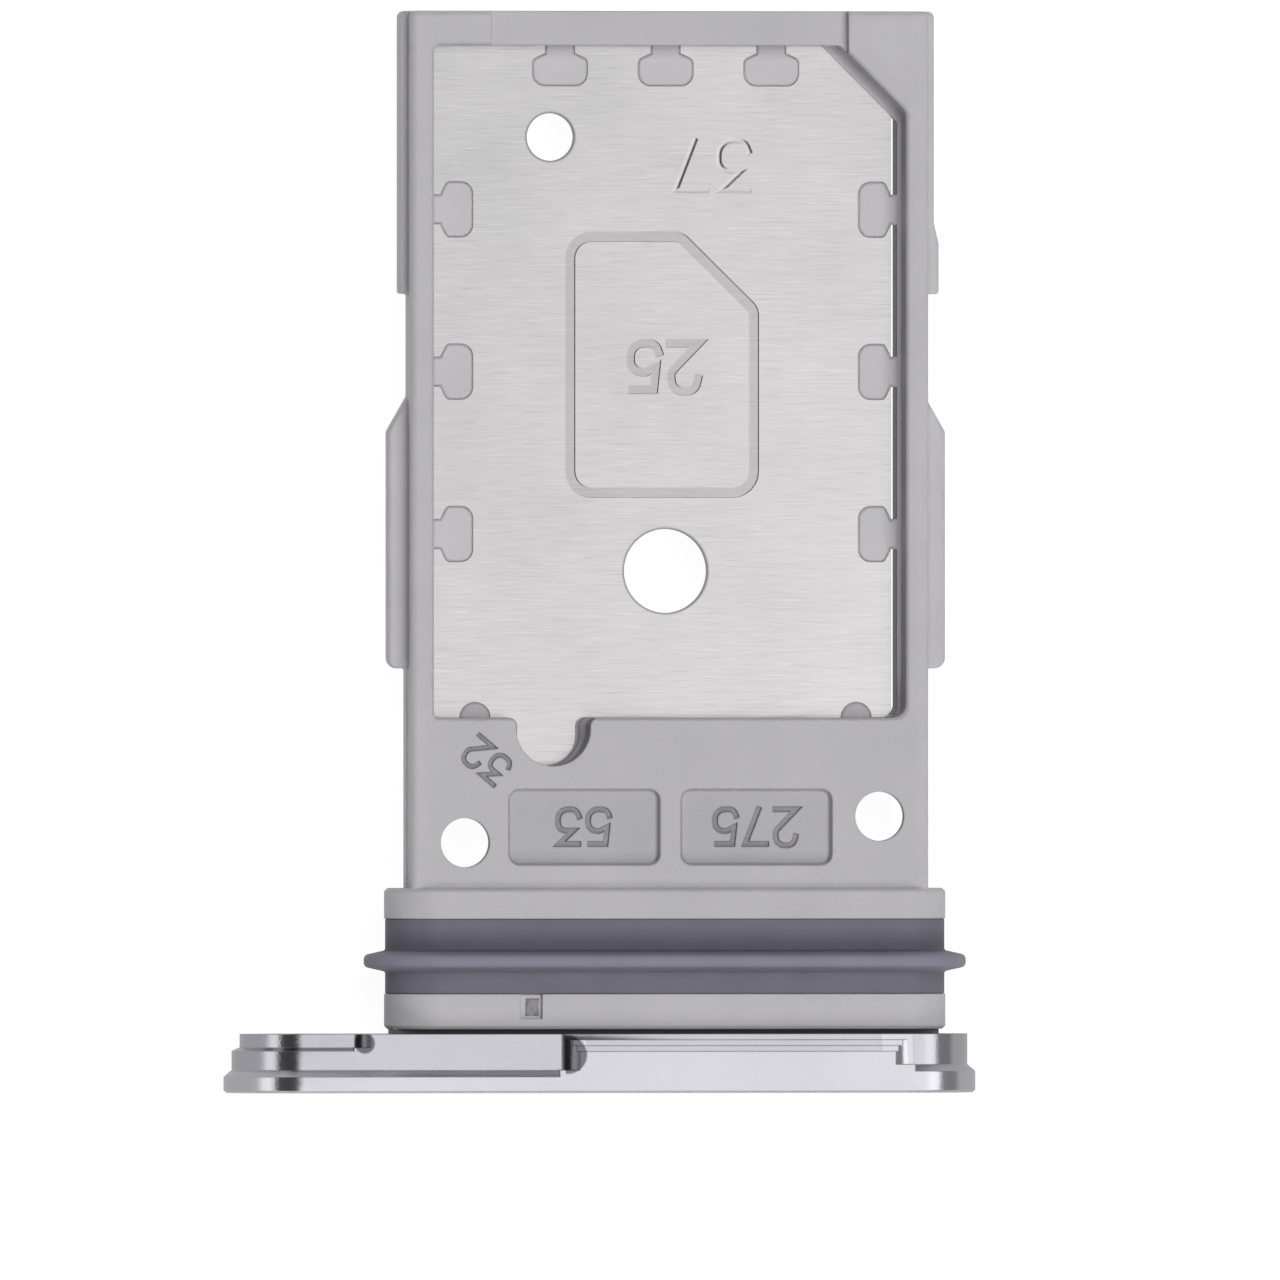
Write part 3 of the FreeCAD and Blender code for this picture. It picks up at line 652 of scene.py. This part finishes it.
def brushed_steel(name, colours):
    """Rolled and brushed steel: even sheen, with sparse short scratches across the tray, light and dark.

    The sheet's colour is darker at the nose's left corner and lighter towards the head's right, a painted
    reflection, and dark round its holes, painted shade on the rims that the punch rolled in.
    """
    made, tree, shader = material(name, Metallic=1.0)
    whole = own_place(tree)[0]
    fine = object_noise(tree, 0.030, detail=1.0, stretch=(30.0, 1.0, 1.0))
    light = scratches(tree, 0.036, (14.0, 1.0, 1.0), 0.62, 0.74)
    dark = scratches(tree, 0.038, (15.0, 1.0, 3.0), 0.37, 0.25)
    clouds = object_noise(tree, 2.4, detail=2.0)
    # A painted reflection: the colour grows lighter towards the head's right
    sheen = add(tree, "ShaderNodeMapping", Location=PAINTED_REFLECTION_AT_ORIGIN, Scale=PAINTED_REFLECTION_SLOPE)
    apart = add(tree, "ShaderNodeSeparateXYZ")
    tree.links.new(whole, sheen.inputs["Vector"])
    tree.links.new(sheen.outputs["Vector"], apart.inputs[0])
    mix = total(
        tree,
        (fine, 0.06),
        (clouds, 0.20),
        (apart.outputs["X"], 0.30),
        (apart.outputs["Y"], 0.40),
        (light, 0.07),
        (dark, -0.07),
    )
    colour = mixed(tree, spread(tree, mix, 0, 1, span=0.25), *colours)
    # Painted shade round the holes, on their rolled rims
    for hole in PLATE_HOLES:
        colour = shaded(tree, colour, disc(tree, whole, *hole, RIM_WIDTH), ROLLED_RIM_PAINTED_SHADE)
    tree.links.new(colour, shader.inputs["Base Color"])
    tree.links.new(spread(tree, fine, 0.20, 0.28), shader.inputs["Roughness"])
    height = total(tree, (fine, 0.25), (light, -0.25), (dark, -0.25))
    relief(tree, shader, height, depth=0.0005, edge=0.010)
    return made


def silicone(name, colours):
    """Smooth matt silicone with a faint bloom, and painted shade in the corner behind the rib."""
    made, tree, shader = material(name, IOR=1.41)
    apart = own_place(tree)[1]
    clouds = object_noise(tree, 0.9, detail=3.0)
    grain = object_noise(tree, 0.03, detail=2.0)
    mix = total(tree, (clouds, 0.6), (grain, 0.4))
    colour = mixed(tree, spread(tree, mix, 0, 1), *colours)
    # Painted shade in the corner behind the rib
    colour = shaded(tree, colour, within(tree, apart, *SEAL_CORNER), SEAL_CORNER_SHADE)
    tree.links.new(colour, shader.inputs["Base Color"])
    tree.links.new(spread(tree, grain, 0.50, 0.62), shader.inputs["Roughness"])
    relief(tree, shader, grain, depth=0.002, edge=0.02)
    return made


def blasted_aluminium(name, milled_colours, blasted_colours):
    """Anodised aluminium: satin where it was milled, and speckled by bead-blasting on its front face.

    Left and right of its full-height middle, behind the flange, the head is milled down and a little
    darker in colour, and so is the band of fine steps. The reliefs end in round patches of painted shade.
    """
    made, tree, shader = material(name, Metallic=1.0)
    whole, apart = own_place(tree)
    front = ramp(tree, apart["Y"], *(depth * MM for depth in FRONT_DEPTHS))
    speckle = object_noise(tree, 0.035, detail=3.0, roughness=0.7)
    passes = object_noise(tree, 0.020, detail=2.0, stretch=(60.0, 1.0, 1.0))
    clouds = object_noise(tree, 2.0, detail=2.0)
    mix = total(tree, (speckle, 0.45), (passes, 0.20), (clouds, 0.35))
    milled = mixed(tree, spread(tree, mix, 0, 1, span=0.15), *milled_colours)
    band = within(tree, apart, *RELIEF_BAND)
    middle = within(tree, apart, *FULL_HEIGHT)
    reliefs = joined(tree, "ShaderNodeMath", band, middle, operation="SUBTRACT", use_clamp=True)
    milled = shaded(tree, milled, reliefs, RELIEF_SHADE)
    milled = shaded(tree, milled, patch(tree, apart, *STEPS_BAND), STEPS_SHADE)
    # Painted shade on the round hollow ends of the reliefs
    for wall, x, y, radius in RELIEF_END_SHADE_PATCHES:
        beyond_wall = within(tree, apart, "X", wall, x + 2 * radius)
        end_shade_patch = product(tree, beyond_wall, disc(tree, whole, x, y, radius, RELIEF_END_SHADE_SOFT))
        milled = shaded(tree, milled, end_shade_patch, RELIEF_END_PAINTED_SHADE)
    blasted = mixed(tree, spread(tree, speckle, 0, 1, span=0.12), *blasted_colours)
    tree.links.new(mixed(tree, front, milled, blasted), shader.inputs["Base Color"])
    milled_sheen = spread(tree, passes, 0.12, 0.18)
    blasted_sheen = spread(tree, speckle, 0.34, 0.50)
    sheen = mixed(tree, front, milled_sheen, blasted_sheen, kind="FLOAT")
    tree.links.new(sheen, shader.inputs["Roughness"])
    relief(tree, shader, mixed(tree, front, passes, speckle, kind="FLOAT"), depth=0.003, edge=0.025)
    return made


# The pieces

def make_pieces():
    """Makes every shown piece of the tray, each in place of its solid."""
    plastic = moulded_plastic("moulded_plastic", PLASTIC, PLASTIC_EDGE)
    # Plastic darkened as painted shade in the grooves of the numbers
    shade_plastic_finish = moulded_plastic("painted_shade_plastic", RECESS_SHADE_PLASTIC, MARK_EDGE)
    steel = brushed_steel("brushed_steel", STEEL)
    etched = brushed_steel("etched_steel", ETCHED_STEEL)

    marks = []
    for number in WEB_NUMBERS:
        marks += digit_cutters(*number)
    for run in key_edges(*merged_node("support_plate")):
        marks.append(groove_cutter("key_edge", run, KEY_GROOVE, OWN))
    blank = mesh_from("moulding", *merged_node("tray_body"), plastic, shade_plastic_finish)
    body = piece("moulding", carve(blank, marks))
    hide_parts("tray_body")

    # The stub takes the plastic darkened as painted shade
    piece("gate_stub", gate_stub_mesh(shade_plastic_finish))

    marks = [groove_cutter("card_outline", round_corners(CARD_OUTLINE), CARD_GROOVE, MARKED, closed=True)]
    for number in PLATE_NUMBERS:
        marks += digit_cutters(*number)
    blank = mesh_from("plate", *merged_node("support_plate"), steel, etched)
    plate = piece("plate", carve(blank, marks))
    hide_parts("support_plate")

    band = silicone("silicone", SILICONE)
    rib = silicone("silicone_rib", SILICONE_RIB)
    section = seal_section()
    rings = stadium_carry(section, COLLAR_CENTRE)
    ring = mesh_from("seal", rings.reshape(-1, 3) * MM, grid_faces(*rings.shape[:2]), band, rib)
    ring.polygons.foreach_set("material_index", rib_faces(section, len(rings)).astype(np.int32))
    seal = piece("seal", ring)
    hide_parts("seal_ring")

    aluminium = blasted_aluminium("blasted_aluminium", MILLED_ALUMINIUM, BLASTED_ALUMINIUM)
    head = piece("head_bar", mesh_from("head_bar", *merged_node("head"), aluminium))
    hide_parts("head")


# The studio

def grey(level):
    """A grey of some level as a colour."""
    return (level, level, level, 1)


def by_ray(tree, matt, metal, seen):
    """Shaders for the light on matt surfaces, for what metal reflects and for what the camera sees."""
    rays = add(tree, "ShaderNodeLightPath").outputs
    straight, through = rays["Is Camera Ray"], rays["Is Transmission Ray"]
    direct = joined(tree, "ShaderNodeMath", straight, through, operation="MAXIMUM")
    matt_or_metal = joined(tree, "ShaderNodeMixShader", rays["Is Glossy Ray"], matt, metal)
    return joined(tree, "ShaderNodeMixShader", direct, matt_or_metal, seen)


def glowing(tree, colour, strength):
    """A matt surface of a colour that also gives light of its own."""
    matt = joined(tree, "ShaderNodeBsdfDiffuse", Color=colour)
    glow = joined(tree, "ShaderNodeEmission", Strength=strength)
    return joined(tree, "ShaderNodeAddShader", matt, glow)


def make_floor():
    """A wide light table under the tray's lowest point.

    It glows under the tray, is near white to the camera but for the tray's shadow, is an even grey in the
    metal, and can be seen through from below.
    """
    level = CAD_BOX[0].z
    sides = ((-1, -1), (1, -1), (1, 1), (-1, 1))
    corners = np.array([(x * FLOOR_REACH, y * FLOOR_REACH, level) for x, y in sides])
    made = bpy.data.materials.new("floor")
    made.use_nodes = True
    tree = made.node_tree
    tree.nodes.clear()
    above = by_ray(
        tree,
        glowing(tree, grey(FLOOR_MATT), FLOOR_GLOW),
        joined(tree, "ShaderNodeEmission", Strength=FLOOR_IN_METAL),
        glowing(tree, grey(FLOOR_SHADOW), FLOOR_SEEN),
    )
    from_below = add(tree, "ShaderNodeNewGeometry").outputs["Backfacing"]
    clear = joined(tree, "ShaderNodeBsdfTransparent")
    shader = joined(tree, "ShaderNodeMixShader", from_below, above, clear)
    tree.links.new(shader, add(tree, "ShaderNodeOutputMaterial").inputs["Surface"])
    floor = bpy.data.objects.new("floor", mesh_from("floor", corners, [(0, 1, 2, 3)], made))
    bpy.context.scene.collection.objects.link(floor)


def make_world():
    """White to the camera, an even pale sky to matt surfaces, and a studio of soft panels to metal.

    The panels' light changes with the angle across the tray: a bright panel overhead and to the right, a
    dark gap left of the vertical, and another bright panel further left.
    """
    world = bpy.data.worlds.new("studio")
    bpy.context.scene.world = world
    world.use_nodes = True
    tree = world.node_tree
    tree.nodes.clear()
    x, y, z = own_place(tree, "Generated")[1]
    angle = joined(tree, "ShaderNodeMath", x, z, operation="ARCTAN2")
    panels = add(tree, "ShaderNodeValToRGB")
    steps = panels.color_ramp.elements
    while len(steps) < len(PANELS):
        steps.new(0.5)
    for step, (degrees, light) in zip(steps, PANELS):
        step.position = (degrees + 180) / 360
        step.color = grey(light)
    tree.links.new(ramp(tree, angle, -math.pi, math.pi), panels.inputs[0])
    fade = ramp(tree, y, *NOSE_FADE)
    metal = joined(tree, "ShaderNodeBackground", panels.outputs["Color"], fade)
    sky = joined(tree, "ShaderNodeBackground", Color=grey(1), Strength=SKY_LIGHT)
    white = joined(tree, "ShaderNodeBackground", Color=grey(1), Strength=1.0)
    shader = by_ray(tree, sky, metal, white)
    tree.links.new(shader, add(tree, "ShaderNodeOutputWorld").inputs["Surface"])


def view_target():
    """The place on the tray, in metres, where the photograph's middle falls."""
    return Vector((VIEW_CENTRE[0], VIEW_CENTRE[1], 0)) * MM


def make_lamp(name, place, share):
    """A square soft lamp aimed at the tray's middle that gives a matt level surface its share of full light.

    A lamp of radiance L and area A at distance d lights a surface by L A cos(t) / d^2, to be share * pi.
    """
    lamp = bpy.data.lights.new(name, "AREA")
    lamp.shape = "SQUARE"
    lamp.size = LAMP_SIZE
    shown = bpy.data.objects.new(name, lamp)
    bpy.context.scene.collection.objects.link(shown)
    away = Vector(place) - view_target()
    shown.location = place
    shown.rotation_mode = "QUATERNION"
    shown.rotation_quaternion = away.to_track_quat("Z", "Y")
    cosine = away.z / away.length
    radiance = share * math.pi * away.length_squared / (LAMP_SIZE * LAMP_SIZE * cosine)
    lamp.energy = radiance * math.pi * LAMP_SIZE * LAMP_SIZE
    shown.visible_glossy = False
    shown.visible_camera = False


def make_camera():
    """The photograph's view: from straight above but a little from the left, through a long lens."""
    camera = bpy.data.cameras.new("camera")
    shown = bpy.data.objects.new("camera", camera)
    bpy.context.scene.collection.objects.link(shown)
    left = math.radians(VIEW_LEFT_DEG)
    toward = Vector((math.sin(left), 0, -math.cos(left)))
    camera.sensor_width = SENSOR
    camera.lens = SENSOR * VIEW_DISTANCE / (PIXELS / PIXELS_PER_MM)
    camera.clip_start = 0.05
    camera.clip_end = 20
    right = toward.cross(Vector((0, 1, 0))).normalized()
    up = right.cross(toward)
    turned = Matrix((right, up, -toward)).transposed().to_4x4()
    shown.matrix_world = Matrix.Translation(view_target() - toward * VIEW_DISTANCE * MM) @ turned
    bpy.context.scene.camera = shown


make_pieces()
make_floor()
make_world()
for lamp_name, (lamp_place, lamp_share) in LAMPS.items():
    make_lamp(lamp_name, lamp_place, lamp_share)
make_camera()

bpy.context.scene.view_settings.view_transform = "Standard"
